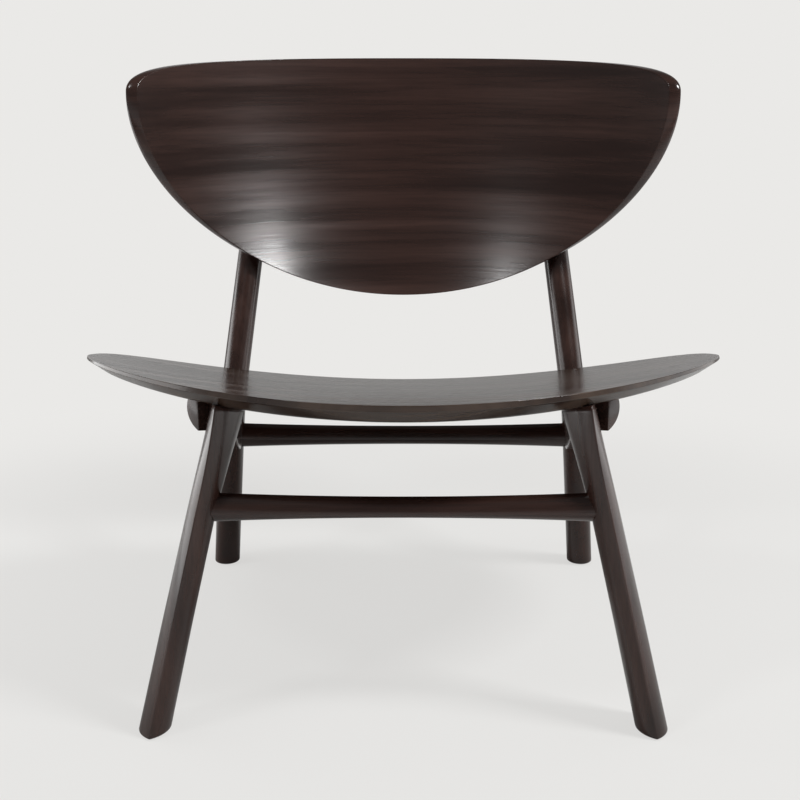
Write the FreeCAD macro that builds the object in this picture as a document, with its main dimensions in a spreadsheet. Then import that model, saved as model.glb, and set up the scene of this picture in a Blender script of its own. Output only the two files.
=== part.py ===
import FreeCAD, Part
import functools
import math
import os
import Sketcher
from FreeCAD import Placement, Rotation, Vector

# Low lounge chair in stained hardwood: two dished half-moon boards on a splayed frame
# X is across the chair, -Y is the front, Z is up and the floor is Z = 0, all in mm

doc = FreeCAD.newDocument("birthing_chair")
sheet = doc.addObject("Spreadsheet::Sheet", "dims")

# Driving dimensions: setbacks run back from the seat's front edge, splays run outward from the
# frame's line under the seat, drops run down from the line of the seat's face
DIMENSIONS = {
    # seat board
    "seat_front_to_middle": 333.0,
    "seat_front_height": 381.0,
    "seat_tilt": 10.2,
    "seat_half_width": 370.0,
    "seat_front_reach": 267.0,
    "seat_rear_reach": 236.0,
    "seat_front_fullness": 1.77,
    "seat_rear_fullness": 2.64,
    "seat_dish": 41.6,
    "seat_thickness": 18.0,
    "seat_tip_thickness": 8.2,
    "seat_bevel_width": 17.0,
    "seat_facet_share": 0.36,
    "seat_overhang": 188.0,
    "seat_bite": 1.0,
    # back board
    "back_tilt": 19.44,
    "back_half_width": 344.8,
    "back_lower_reach": 238.1,
    "back_upper_reach": 93.7,
    "back_lower_fullness": 2.04,
    "back_upper_fullness": 2.04,
    "back_wing_depth": 163.5,
    "back_upright_dish": 14.7,
    "back_thickness": 17.0,
    "back_undercut": 8.0,
    "back_bevel_width": 4.0,
    "back_facet_share": 0.7,
    # front legs
    "front_foot_setback": 61.5,
    "front_foot_splay": 90.6,
    "front_foot_width": 34.8,
    "front_foot_length": 62.0,
    "front_foot_turn_angle": 2.5,
    "front_shin_height_share": 0.48,
    "front_shin_setback": 66.0,
    "front_shin_splay": 63.0,
    "front_shin_width": 32.8,
    "front_shin_length": 56.0,
    "front_shin_turn_angle": 4.5,
    "front_knee_below_seat": 131.0,
    "front_knee_setback": 74.0,
    "front_knee_splay": 32.0,
    "front_knee_width": 30.8,
    "front_knee_length": 52.0,
    "front_knee_turn_angle": 7.5,
    "front_head_setback": 106.0,
    "front_head_width": 33.6,
    "front_head_length": 104.0,
    "front_head_turn_angle": 14.0,
    # side bearers
    "bearer_nose_setback": 90.0,
    "bearer_nose_width": 45.8,
    "bearer_nose_drop": 34.0,
    "bearer_nose_hull_share": 0.23,
    "bearer_waist_setback": 270.0,
    "bearer_waist_splay": 16.0,
    "bearer_waist_width": 40.0,
    "bearer_waist_drop": 66.0,
    "bearer_waist_hull_share": 0.38,
    "bearer_heel_behind_bend": 8.0,
    "bearer_heel_splay": 37.0,
    "bearer_heel_width": 23.0,
    "bearer_heel_drop": 74.0,
    "bearer_heel_hull_share": 0.38,
    "bearer_hull_bulge": 6.0,
    "bearer_prow_from_outer": 10.5,
    "bearer_prow_outer_angle": 35.0,
    "bearer_prow_inner_angle": 25.0,
    "bearer_cut_overrun": 80.0,
    # rear legs with their uprights
    "rear_bend_ahead_of_seat_end": 11.05,
    "rear_bend_drop": 31.9,
    "rear_bend_splay": 48.4,
    "rear_bend_round": 18.0,
    "rear_bend_reach": 90.0,
    "rear_foot_rake": 97.5,
    "rear_foot_splay": 74.6,
    "rear_top_rake": 134.0,
    "rear_top_rise": 344.0,
    "rear_top_splay": 8.2,
    "rear_foot_width": 35.4,
    "rear_foot_depth": 42.0,
    "rear_bend_width": 34.8,
    "rear_bend_depth": 43.0,
    "rear_top_width": 33.0,
    "rear_top_depth": 33.6,
    # cross rails
    "front_rail_ahead_of_knee": 0.5,
    "front_rail_above_knee": 1.2,
    "front_rail_end_depth": 33.2,
    "front_rail_waist_depth": 23.7,
    "front_rail_thickness": 27.0,
    "rear_rail_behind_bend": 17.5,
    "rear_rail_below_bend": 50.0,
    "rear_rail_end_depth": 34.5,
    "rear_rail_waist_depth": 26.0,
    "rear_rail_thickness": 25.0,
    "rail_arris_drop": 3.5,
    "rail_facet_radius_share": 0.6,
    # rail tenons
    "tenon_radius": 7.0,
    "tenon_end_wall": 8.0,
    "tenon_clearance": 0.15,
    "mortise_extra_depth": 1.0,
    # dowels
    "dowel_radius": 5.0,
    "dowel_clearance": 0.1,
    "dowel_end_gap": 0.6,
    "front_dowel_length": 36.0,
    "front_dowel_splay": 17.0,
    "front_dowel_rise": 9.2,
    "front_dowel_fore_run": 14.0,
    "front_dowel_aft_run": 30.0,
    "rear_dowel_length": 50.0,
    "rear_dowel_lead": 18.0,
    "rear_dowel_low_rise": 14.0,
    "rear_dowel_high_rise": 40.0,
    # threaded inserts and bolts
    "bolt_radius": 3.0,
    "bolt_head_radius": 5.0,
    "bolt_head_height": 4.0,
    "bolt_socket_radius": 2.3,
    "bolt_socket_depth": 2.4,
    "bolt_hole_clearance": 0.3,
    "thread_clearance": 0.06,
    "washer_radius": 6.5,
    "washer_thickness": 1.2,
    "insert_radius": 4.5,
    "insert_length": 8.5,
    "insert_sink": 2.6,
    "insert_clearance": 0.05,
    "counterbore_radius": 7.2,
    "counterbore_length": 60.0,
    "seat_bolt_grip": 16.0,
    "seat_front_bolt_run": 195.0,
    "seat_rear_bolt_from_end": 103.0,
    "back_bolt_above_middle": -59.9,
    "back_bolt_axis_behind": 13.76,
    "back_bolt_head_back": 3.0,
    "back_upper_bolt_from_top": 40.0,
    "back_lower_bolt_from_top": 114.0,
    "plug_radius": 7.1,
    "plug_gap": 1.0,
    # foot glides
    "glide_radius": 9.0,
    "glide_thickness": 1.5,
    "glide_pin_radius": 1.5,
    "glide_pin_length": 14.0,
    "glide_pin_clearance": 0.1,
    # edge tools of the two boards
    "tool_overrun": 3.0,
    "tool_apex": 620.0,
    "seat_space_rise": 4.0,
}


def seat_line(setback):
    """Height of the line that the middle of the seat's face follows, at a setback."""
    return "(seat_front_height - (%s) * tan(seat_tilt))" % setback


def to_underside(across):
    """Height of the seat's underside over that line, at a place across the chair."""
    fall = "sqrt(seat_under_radius ^ 2 - (%s) ^ 2)" % across
    return "((seat_under_radius - %s - seat_thickness) / cos(seat_tilt))" % fall


def bearer_height(end):
    """From the bearer's bottom to the underside at its outer side, and a bite more."""
    outer = "bearer_%s_inner + bearer_%s_width" % (end, end)
    return "bearer_%s_drop + %s + seat_bite" % (end, to_underside(outer))


# Sizes that follow from the driving dimensions
DERIVED = {
    "seat_under_rise": "seat_dish + seat_thickness - seat_tip_thickness",
    "seat_under_radius": "(seat_half_width ^ 2 + seat_under_rise ^ 2) / (2 * seat_under_rise)",
    "frame_half_track": "seat_half_width - seat_overhang",
    "front_knee_height": "seat_front_height - front_knee_below_seat",
    "front_shin_height": "front_knee_height * front_shin_height_share",
    "front_foot_half_track": "frame_half_track + front_foot_splay",
    "front_shin_half_track": "frame_half_track + front_shin_splay",
    "front_knee_half_track": "frame_half_track + front_knee_splay",
    "front_head_half_track": "frame_half_track",
    "front_head_tip_half_track": "frame_half_track"
                                 " + front_head_length / 2 * sin(front_head_turn_angle)",
    "front_head_height": "%s + %s + seat_bite" % (
        seat_line("front_head_setback - front_head_length / 2"),
        to_underside("front_head_tip_half_track"),
    ),
    "rear_bend_setback": "(seat_front_reach + seat_rear_reach) * cos(seat_tilt)"
                         " - rear_bend_ahead_of_seat_end",
    "rear_bend_height": seat_line("rear_bend_setback") + " - rear_bend_drop",
    "rear_bend_half_track": "frame_half_track + rear_bend_splay",
    "rear_foot_setback": "rear_bend_setback + rear_foot_rake",
    "rear_foot_half_track": "frame_half_track + rear_foot_splay",
    "rear_top_setback": "rear_bend_setback + rear_top_rake",
    "rear_top_height": "rear_bend_height + rear_top_rise",
    "rear_top_half_track": "frame_half_track + rear_top_splay",
    "bearer_nose_inner": "frame_half_track",
    "bearer_waist_inner": "frame_half_track + bearer_waist_splay",
    "bearer_heel_inner": "frame_half_track + bearer_heel_splay",
    "bearer_nose_bottom": seat_line("bearer_nose_setback") + " - bearer_nose_drop",
    "bearer_waist_bottom": seat_line("bearer_waist_setback") + " - bearer_waist_drop",
    "bearer_heel_setback": "rear_bend_setback + bearer_heel_behind_bend",
    "bearer_heel_bottom": seat_line("bearer_heel_setback") + " - bearer_heel_drop",
    "bearer_nose_height": bearer_height("nose"),
    "bearer_waist_height": bearer_height("waist"),
    "bearer_heel_height": bearer_height("heel"),
    "front_rail_setback": "front_knee_setback - front_rail_ahead_of_knee",
    "front_rail_height": "front_knee_height + front_rail_above_knee",
    "rear_rail_setback": "rear_bend_setback + rear_rail_behind_bend",
    "rear_rail_height": "rear_bend_height - rear_rail_below_bend",
    "front_dowel_half_track": "frame_half_track + front_dowel_splay",
    "front_dowel_height": "bearer_nose_bottom + front_dowel_rise",
    "front_dowel_fore_setback": "bearer_nose_setback + front_dowel_fore_run",
    "front_dowel_aft_setback": "bearer_nose_setback + front_dowel_aft_run",
    "rear_dowel_setback": "bearer_heel_setback - rear_dowel_lead",
    "rear_dowel_low_height": "bearer_heel_bottom + rear_dowel_low_rise",
    "rear_dowel_high_height": "bearer_heel_bottom + rear_dowel_high_rise",
    "seat_rear_bolt_run": "seat_front_reach + seat_rear_reach - seat_rear_bolt_from_end",
    "back_upper_bolt_height": "rear_top_height - back_upper_bolt_from_top",
    "back_lower_bolt_height": "rear_top_height - back_lower_bolt_from_top",
}
OUTLINE_STEPS = 12
HEAD_STEPS = 5
BEND_STEPS = 5

cells = {name: str(value) for name, value in DIMENSIONS.items()}
cells.update({name: "=" + rule for name, rule in DERIVED.items()})
for row, name in enumerate(cells, start=1):
    sheet.set("A%d" % row, name)
    sheet.setAlias("B%d" % row, name)
for row, text in enumerate(cells.values(), start=1):
    sheet.set("B%d" % row, text)
doc.recompute()


def size(name):
    return float(sheet.get(name))


def behind_front_edge(setback):
    return size(setback) - size("seat_front_to_middle")


# Boards: a thick dished blank, cut to a half-moon outline by an edge tool

def signed_power(value, power):
    return math.copysign(abs(value) ** power, value)


def half_moon_point(board, angle, inset):
    """Place across and along the board at an angle round its outline, drawn in by inset."""
    if math.sin(angle) < 0:
        reach, fullness = board["near_reach"], board["near_fullness"]
    else:
        reach, fullness = board["far_reach"], board["far_fullness"]
    across = (board["half_width"] - inset) * signed_power(math.cos(angle), 2 / fullness)
    along = (reach - inset) * signed_power(math.sin(angle), 2 / fullness)
    return across, along


def half_moon_wire(board, level):
    """Closed 3-D curve round the board, where level gives each outline point's place."""
    halves = []
    for start in (math.pi, 0.0):
        angles = [start + math.pi * step / OUTLINE_STEPS for step in range(OUTLINE_STEPS + 1)]
        points = [level(board, angle) for angle in angles]
        toward = board["along"] * (1 if start == 0.0 else -1)
        curve = Part.BSplineCurve()
        curve.interpolate(
            Points=points, InitialTangent=toward, FinalTangent=toward * -1, Scale=False
        )
        halves.append(curve.toShape())
    return Part.Wire(halves)


def above_face(board, angle):
    across, along = half_moon_point(board, angle, 0)
    place, normal = board["face"](across, along)
    return place + normal * size("tool_overrun")


def undercut(board, angle):
    """How far the edge is drawn in behind the face: most at the near end, none at the tips."""
    if math.sin(angle) >= 0:
        return 0.0
    across, _ = half_moon_point(board, angle, 0)
    return board["undercut"] * (1 - (across / board["half_width"]) ** 2)


def below_facet(board, angle):
    across, along = half_moon_point(board, angle, undercut(board, angle))
    place, normal = board["face"](across, along)
    return place - normal * (board["facet_share"] * board["thickness"](across))


def below_bevel(board, angle):
    start = below_facet(board, angle)
    inset = undercut(board, angle) + board["bevel_width"]
    across, along = half_moon_point(board, angle, inset)
    place, normal = board["face"](across, along)
    through = place - normal * board["thickness"](across)
    run = through - start
    return start + run * (1 + size("tool_overrun") / run.Length)


def cut_board(board, blank):
    """The blank inside a closed tool: a cone, the upright edge facet, the bevel and a cone."""
    wires = [half_moon_wire(board, level) for level in (above_face, below_facet, below_bevel)]
    front_apex = Part.Vertex(board["up"] * size("tool_apex"))
    rear_apex = Part.Vertex(board["up"] * -size("tool_apex"))
    tool = Part.makeLoft([front_apex] + wires + [rear_apex], True, True)
    return blank.common(tool)


def arc_radius(half_chord, rise):
    return (half_chord ** 2 + rise ** 2) / (2 * rise)


# Seat board, in its own plane: X across, Y from its widest line to the rear, Z off the face

seat_radius = arc_radius(size("seat_half_width"), size("seat_dish"))
seat_under_radius = size("seat_under_radius")


def seat_height(across, radius):
    return radius - math.sqrt(radius ** 2 - across ** 2)


def seat_face(across, along):
    fall = math.sqrt(seat_radius ** 2 - across ** 2)
    return Vector(across, along, seat_radius - fall), Vector(-across, 0, fall) / seat_radius


def seat_under(across):
    return seat_height(across, seat_under_radius) - size("seat_thickness")


def seat_thickness(across):
    return seat_height(across, seat_radius) - seat_under(across)


def seat_blank_shape():
    edge = size("seat_half_width") + size("tool_overrun")
    top, under = seat_height(edge, seat_radius), seat_under(edge)
    front = -size("seat_front_reach") - size("tool_overrun")
    corners = [Vector(-edge, front, top), Vector(edge, front, top)]
    lower = [Vector(edge, front, under), Vector(-edge, front, under)]
    outline = Part.Wire([
        Part.Arc(corners[0], Vector(0, front, 0), corners[1]).toShape(),
        Part.makeLine(corners[1], lower[0]),
        Part.Arc(lower[0], Vector(0, front, -size("seat_thickness")), lower[1]).toShape(),
        Part.makeLine(lower[1], corners[0]),
    ])
    run = size("seat_front_reach") + size("seat_rear_reach") + 2 * size("tool_overrun")
    return Part.Face(outline).extrude(Vector(0, run, 0))


seat_board = {
    "half_width": size("seat_half_width"),
    "near_reach": size("seat_front_reach"),
    "far_reach": size("seat_rear_reach"),
    "near_fullness": size("seat_front_fullness"),
    "far_fullness": size("seat_rear_fullness"),
    "undercut": 0,
    "bevel_width": size("seat_bevel_width"),
    "facet_share": size("seat_facet_share"),
    "face": seat_face,
    "thickness": seat_thickness,
    "along": Vector(0, 1, 0),
    "up": Vector(0, 0, 1),
}
seat_turn = Rotation(Vector(1, 0, 0), -size("seat_tilt"))
seat_front_edge = Vector(0, -size("seat_front_to_middle"), size("seat_front_height"))
seat_place = Placement(seat_front_edge, seat_turn).multiply(
    Placement(Vector(0, size("seat_front_reach"), 0), Rotation())
)
seat_blank = doc.addObject("Part::Feature", "seat_blank")
seat_blank.Shape = cut_board(seat_board, seat_blank_shape())
seat_blank.Placement = seat_place

# Back board, in its own plane: X across, Y to the rear, Z from its widest line upward

back_radius = arc_radius(size("back_half_width"), size("back_wing_depth"))
back_length = size("back_lower_reach") + size("back_upper_reach")
back_middle = back_length / 2 - size("back_lower_reach")
back_profile_radius = arc_radius(back_length / 2, size("back_upright_dish"))


def back_face_radius(along, depth):
    """Distance from the board's upright axis to its face, at depth into the board."""
    profile = back_profile_radius + depth
    return back_radius - back_profile_radius + math.sqrt(profile ** 2 - (along - back_middle) ** 2)


def back_face(across, along):
    radius = back_face_radius(along, 0)
    fall = math.sqrt(radius ** 2 - across ** 2)
    return Vector(across, fall - back_radius, along), Vector(-across, -fall, 0) / radius


def back_thickness(across):
    return size("back_thickness")


def back_profile_point(along, depth):
    return Vector(0, back_face_radius(along, depth) - back_radius, along)


def back_blank_shape():
    thick = size("back_thickness")
    low = -size("back_lower_reach") - size("tool_overrun")
    high = size("back_upper_reach") + size("tool_overrun")
    face = [back_profile_point(along, 0) for along in (low, back_middle, high)]
    rear = [back_profile_point(along, thick) for along in (high, back_middle, low)]
    outline = Part.Wire([
        Part.Arc(*face).toShape(),
        Part.makeLine(face[-1], rear[0]),
        Part.Arc(*rear).toShape(),
        Part.makeLine(rear[-1], face[0]),
    ])
    swing = math.degrees(math.asin((size("back_half_width") + thick) / back_radius))
    axis = Vector(0, -back_radius, 0)
    side = Part.Face(outline).rotated(axis, Vector(0, 0, 1), -swing)
    return side.revolve(axis, Vector(0, 0, 1), 2 * swing)


back_board = {
    "half_width": size("back_half_width"),
    "near_reach": size("back_lower_reach"),
    "far_reach": size("back_upper_reach"),
    "near_fullness": size("back_lower_fullness"),
    "far_fullness": size("back_upper_fullness"),
    "undercut": size("back_undercut"),
    "bevel_width": size("back_bevel_width"),
    "facet_share": size("back_facet_share"),
    "face": back_face,
    "thickness": back_thickness,
    "along": Vector(0, 0, 1),
    "up": Vector(0, -1, 0),
}

# Sections for the legs, bearers and rails

# The sketcher's numbers for the points of a curve and for a sketch's own two axes
START, END, CENTRE = range(1, 4)
LEVEL_AXIS, UPRIGHT_AXIS = range(-1, -3, -1)
SKETCH_ORIGIN = (LEVEL_AXIS, START)


def origin_plane(body, role):
    for feature in body.Origin.OriginFeatures:
        if feature.Role == role:
            return feature
    raise ValueError(role)


def place_sketch(body, name, role, across, up, off):
    sketch = body.newObject("Sketcher::SketchObject", name)
    sketch.AttachmentSupport = [(origin_plane(body, role), "")]
    sketch.MapMode = "FlatFace"
    sketch.setExpression("AttachmentOffset.Base.x", across)
    sketch.setExpression("AttachmentOffset.Base.y", up)
    sketch.setExpression("AttachmentOffset.Base.z", off)
    return sketch


def bind(sketch, kind, value, expression, *ends):
    index = sketch.addConstraint(Sketcher.Constraint(kind, *ends, value))
    sketch.setExpression("Constraints[%d]" % index, expression)


def value(owner, rule):
    return float(owner.evalExpression(rule))


def join(sketch, count):
    for edge in range(count):
        sketch.addConstraint(Sketcher.Constraint("Coincident", edge, END, (edge + 1) % count, START))


def almond(sketch, width_rule, length_rule):
    """Two arcs that meet in an arris at each end of length, which runs up the sketch."""
    wide, long = value(sketch, width_rule), value(sketch, length_rule)
    tips = [Vector(0, -long / 2, 0), Vector(0, long / 2, 0)]
    sketch.addGeometry(Part.Arc(tips[0], Vector(wide / 2, 0, 0), tips[1]))
    sketch.addGeometry(Part.Arc(tips[1], Vector(-wide / 2, 0, 0), tips[0]))
    join(sketch, 2)
    sketch.addConstraint(Sketcher.Constraint("PointOnObject", 0, START, UPRIGHT_AXIS))
    sketch.addConstraint(Sketcher.Constraint("PointOnObject", 0, END, UPRIGHT_AXIS))
    bind(sketch, "DistanceY", long / 2, "(%s) / 2" % length_rule, 0, START, *SKETCH_ORIGIN)
    bind(sketch, "DistanceY", long / 2, "(%s) / 2" % length_rule, *SKETCH_ORIGIN, 0, END)
    radius = (wide ** 2 + long ** 2) / (4 * wide)
    for edge in (0, 1):
        rule = "(({0}) ^ 2 + ({1}) ^ 2) / (4 * ({0}))".format(width_rule, length_rule)
        bind(sketch, "Radius", radius, rule, edge)


def oval(sketch, width_rule, depth_rule):
    """An ellipse whose depth runs up the sketch and is the longer of the two."""
    wide, deep = value(sketch, width_rule), value(sketch, depth_rule)
    end, side = Vector(0, deep / 2, 0), Vector(wide / 2, 0, 0)
    sketch.addGeometry(Part.Ellipse(end, side, Vector(0, 0, 0)))
    sketch.exposeInternalGeometry(0)
    major, minor = range(1, 3)
    sketch.addConstraint(Sketcher.Constraint("Coincident", 0, CENTRE, *SKETCH_ORIGIN))
    sketch.addConstraint(Sketcher.Constraint("Vertical", major))
    bind(sketch, "Distance", deep, depth_rule, major)
    bind(sketch, "Distance", wide, width_rule, minor)


def soft_diamond(sketch, thickness, depth):
    """Four shallow arcs between arrises at the front, top, rear and bottom of a rail."""
    half_thick, half_deep, drop = size(thickness) / 2, size(depth) / 2, size("rail_arris_drop")
    radius = size("rail_facet_radius_share") * 2 * math.hypot(half_thick, half_deep)
    corners = [
        Vector(half_thick, -drop, 0), Vector(0, half_deep, 0),
        Vector(-half_thick, -drop, 0), Vector(0, -half_deep, 0),
    ]
    for start, end in zip(corners, corners[1:] + corners[:1]):
        chord = end - start
        rise = radius - math.sqrt(radius ** 2 - chord.Length ** 2 / 4)
        out = Vector(chord.y, -chord.x, 0).normalize()
        sketch.addGeometry(Part.Arc(start, (start + end) / 2 + out * rise, end))
    join(sketch, 4)
    sketch.addConstraint(Sketcher.Constraint("PointOnObject", 1, START, UPRIGHT_AXIS))
    sketch.addConstraint(Sketcher.Constraint("PointOnObject", 3, START, UPRIGHT_AXIS))
    for arris in (0, 2):
        bind(sketch, "DistanceY", drop, "dims.rail_arris_drop", arris, START, *SKETCH_ORIGIN)
    bind(sketch, "DistanceX", half_thick, "dims.%s / 2" % thickness, *SKETCH_ORIGIN, 0, START)
    bind(sketch, "DistanceY", half_deep, "dims.%s / 2" % depth, *SKETCH_ORIGIN, 1, START)
    bind(sketch, "DistanceX", half_thick, "dims.%s / 2" % thickness, 2, START, *SKETCH_ORIGIN)
    bind(sketch, "DistanceY", half_deep, "dims.%s / 2" % depth, 3, START, *SKETCH_ORIGIN)
    rule = "dims.rail_facet_radius_share * sqrt(dims.%s ^ 2 + dims.%s ^ 2)" % (thickness, depth)
    for edge in range(4):
        bind(sketch, "Radius", radius, rule, edge)


def loft_body(name, sketches, ruled):
    """A body whose loft runs through the sketches that are made by the given callables."""
    body = doc.addObject("PartDesign::Body", name)
    made = [make(body) for make in sketches]
    loft = body.newObject("PartDesign::AdditiveLoft", name + "_loft")
    loft.Profile = made[0]
    loft.Sections = made[1:]
    loft.Ruled = ruled
    for sketch in made:
        sketch.Visibility = False
    return body


# Front leg, right side: almond sections from the foot to the knee, then the flaring head, each
# turned a little more than the one below it so that the front arris leans to the outside

def front_rule(step, part):
    """A section's size: step 0 is the knee, HEAD_STEPS the head and lengths flare late."""
    knee, head = "dims.front_knee_" + part, "dims.front_head_" + part
    share = step / HEAD_STEPS
    if part in ("setback", "length"):
        share = share ** 2
    return "%s + (%s - %s) * %r" % (knee, head, knee, share)


def front_section(name, rule):
    def make(body):
        sketch = place_sketch(
            body, name, "XY_Plane",
            rule("half_track"), rule("setback") + " - dims.seat_front_to_middle", rule("height"),
        )
        sketch.setExpression("AttachmentOffset.Rotation.Angle", rule("turn_angle"))
        almond(sketch, rule("width"), rule("length"))
        return sketch
    return make


def foot_rule(part):
    return "dims.glide_thickness" if part == "height" else "dims.front_foot_" + part


front_sections = [
    front_section("front_foot_section", foot_rule),
    front_section("front_shin_section", lambda part: "dims.front_shin_" + part),
]
for step in range(HEAD_STEPS + 1):
    head_rule = functools.partial(front_rule, step)
    front_sections.append(front_section("front_head_section_%d" % step, head_rule))
front_leg_blank = loft_body("front_leg_blank", front_sections, True)

# Rear leg, right side: one bent piece, oval sections that lie close together round its bend

REAR_LEVELS = ["foot"] + list(range(-BEND_STEPS, BEND_STEPS + 1)) + ["top"]


def rear_height_rule(level):
    if level == "foot":
        return "dims.glide_thickness"
    if level == "top":
        return "dims.rear_top_height"
    share = level * abs(level) / BEND_STEPS ** 2
    return "(dims.rear_bend_height + dims.rear_bend_reach * %r)" % share


def rear_axis_rule(part, height):
    """Setback or half track of the axis: two straight lines with a rounded bend between."""
    foot, bend, top = ["dims.rear_%s_%s" % (end, part) for end in ("foot", "bend", "top")]
    rise = "(%s - dims.rear_bend_height)" % height
    low = "(%s - %s) / dims.rear_bend_height" % (bend, foot)
    high = "(%s - %s) / (dims.rear_top_height - dims.rear_bend_height)" % (top, bend)
    round_rise = "sqrt(%s ^ 2 + dims.rear_bend_round ^ 2)" % rise
    terms = (bend, high, low, rise, high, low, round_rise)
    return "%s + (%s + %s) / 2 * %s + (%s - %s) / 2 * %s" % terms


def rear_girth_rule(part, level, height):
    """Width or depth of a section, changing evenly from the bend to the foot or to the top."""
    if level == "foot" or level in REAR_LEVELS[:BEND_STEPS + 1]:
        end, share = "foot", "(dims.rear_bend_height - %s) / dims.rear_bend_height" % height
    else:
        run = "(dims.rear_top_height - dims.rear_bend_height)"
        end, share = "top", "(%s - dims.rear_bend_height) / %s" % (height, run)
    return "dims.rear_bend_{0} + (dims.rear_{1}_{0} - dims.rear_bend_{0}) * {2}".format(part, end, share)


def rear_section(level):
    def make(body):
        height = rear_height_rule(level)
        sketch = place_sketch(
            body, "rear_section_%s" % str(level).replace("-", "low_"), "XY_Plane",
            rear_axis_rule("half_track", height),
            rear_axis_rule("setback", height) + " - dims.seat_front_to_middle",
            height,
        )
        oval(sketch, rear_girth_rule("width", level, height), rear_girth_rule("depth", level, height))
        return sketch
    return make


rear_leg_blank = loft_body("rear_leg_blank", [rear_section(level) for level in REAR_LEVELS], True)


def rear_axis(height):
    """Point on the rear leg's axis at a height."""
    spot = []
    rise = height - size("rear_bend_height")
    for part in ("half_track", "setback"):
        foot, bend, top = [size("rear_%s_%s" % (end, part)) for end in ("foot", "bend", "top")]
        low = (bend - foot) / size("rear_bend_height")
        high = (top - bend) / (size("rear_top_height") - size("rear_bend_height"))
        round_rise = math.hypot(rise, size("rear_bend_round"))
        spot.append(bend + (high + low) / 2 * rise + (high - low) / 2 * round_rise)
    return Vector(spot[0], spot[1] - size("seat_front_to_middle"), height)


# The back board hangs on the uprights: its rear face lies just ahead of their axis at the upper bolt

upper_bolt_spot = rear_axis(size("back_upper_bolt_height"))
bolt_above_middle = size("back_bolt_above_middle")
rear_face_radius = back_face_radius(bolt_above_middle, size("back_thickness"))
rear_face = math.sqrt(rear_face_radius ** 2 - upper_bolt_spot.x ** 2) - back_radius
hung_at = Vector(upper_bolt_spot.x, rear_face + size("back_bolt_axis_behind"), bolt_above_middle)
back_turn = Rotation(Vector(1, 0, 0), -size("back_tilt"))
back_place = Placement(upper_bolt_spot, back_turn).multiply(Placement(hung_at * -1, Rotation()))
back_blank = doc.addObject("Part::Feature", "back_blank")
back_blank.Shape = cut_board(back_board, back_blank_shape())
back_blank.Placement = back_place

# Side bearer, right side: hull sections from its nose to the rear leg, with a prow at the nose

def hull_section(level):
    def make(body):
        named = "bearer_%s_" % level
        sketch = place_sketch(
            body, named + "section", "XZ_Plane",
            "dims.%sinner" % named,
            "dims.%sbottom" % named,
            "dims.seat_front_to_middle - dims.%ssetback" % named,
        )
        width, height = size(named + "width"), size(named + "height")
        inset, bulge = width * size(named + "hull_share"), size("bearer_hull_bulge")
        inner_bottom, outer_bottom = Vector(0, 0, 0), Vector(width - inset, 0, 0)
        outer_top, inner_top = Vector(width, height, 0), Vector(0, height, 0)
        chord = outer_top - outer_bottom
        out = Vector(chord.y, -chord.x, 0).normalize()
        belly = (outer_bottom + outer_top) / 2 + out * bulge
        sketch.addGeometry(Part.LineSegment(inner_bottom, outer_bottom))
        sketch.addGeometry(Part.Arc(outer_bottom, belly, outer_top))
        sketch.addGeometry(Part.LineSegment(outer_top, inner_top))
        sketch.addGeometry(Part.LineSegment(inner_top, inner_bottom))
        join(sketch, 4)
        sketch.addConstraint(Sketcher.Constraint("Coincident", 0, START, *SKETCH_ORIGIN))
        sketch.addConstraint(Sketcher.Constraint("Horizontal", 0))
        sketch.addConstraint(Sketcher.Constraint("Horizontal", 2))
        sketch.addConstraint(Sketcher.Constraint("Vertical", 3))
        flat = "dims.{0}width * (1 - dims.{0}hull_share)".format(named)
        bind(sketch, "Distance", width - inset, flat, 0)
        bind(sketch, "Distance", width, "dims.%swidth" % named, 2)
        bind(sketch, "Distance", height, "dims.%sheight" % named, 3)
        chord_squared = "((dims.{0}width * dims.{0}hull_share) ^ 2 + dims.{0}height ^ 2)".format(named)
        rule = "(%s / 4 + dims.bearer_hull_bulge ^ 2) / (2 * dims.bearer_hull_bulge)" % chord_squared
        bind(sketch, "Radius", arc_radius(chord.Length / 2, bulge), rule, 1)
        return sketch
    return make


bearer_blank = loft_body(
    "bearer_blank", [hull_section(level) for level in ("nose", "waist", "heel")], False
)


def prow_cutter(name, angle_name, sign):
    """Upright block whose rear face leads back from the prow's arris at an angle."""
    block = doc.addObject("Part::Box", name)
    for side in ("Length", "Width", "Height"):
        block.setExpression(side, "dims.bearer_cut_overrun")
    overrun = size("bearer_cut_overrun")
    arris = Vector(
        size("bearer_nose_inner") + size("bearer_nose_width") - size("bearer_prow_from_outer"),
        behind_front_edge("bearer_nose_setback"),
        size("bearer_nose_bottom") - overrun / 2,
    )
    shift = Vector(0 if sign > 0 else -overrun, -overrun, 0)
    turn = Rotation(Vector(0, 0, 1), sign * size(angle_name))
    block.Placement = Placement(arris, turn).multiply(Placement(shift, Rotation()))
    return block


prow_outer = prow_cutter("prow_outer", "bearer_prow_outer_angle", 1)
prow_inner = prow_cutter("prow_inner", "bearer_prow_inner_angle", -1)


def bearer_middle(setback):
    """Middle of the bearer's lower face across the chair, on a line from its nose to its heel."""
    nose, heel = size("bearer_nose_setback"), size("bearer_heel_setback")
    share = (setback - nose) / (heel - nose)
    middles = []
    for end in ("nose", "heel"):
        flat = size("bearer_%s_width" % end) * (1 - size("bearer_%s_hull_share" % end))
        middles.append(size("bearer_%s_inner" % end) + flat / 2)
    return middles[0] * (1 - share) + middles[1] * share


# Cross rails: soft diamond sections, deeper at the ends than at the waist

def rail_section(rail, reach_rule, part):
    def make(body):
        sketch = place_sketch(
            body, "%s_%s_section" % (rail, part), "YZ_Plane",
            "dims.%s_setback - dims.seat_front_to_middle" % rail,
            "dims.%s_height" % rail,
            reach_rule,
        )
        depth = "_waist_depth" if part == "waist" else "_end_depth"
        soft_diamond(sketch, rail + "_thickness", rail + depth)
        return sketch
    return make


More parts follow.
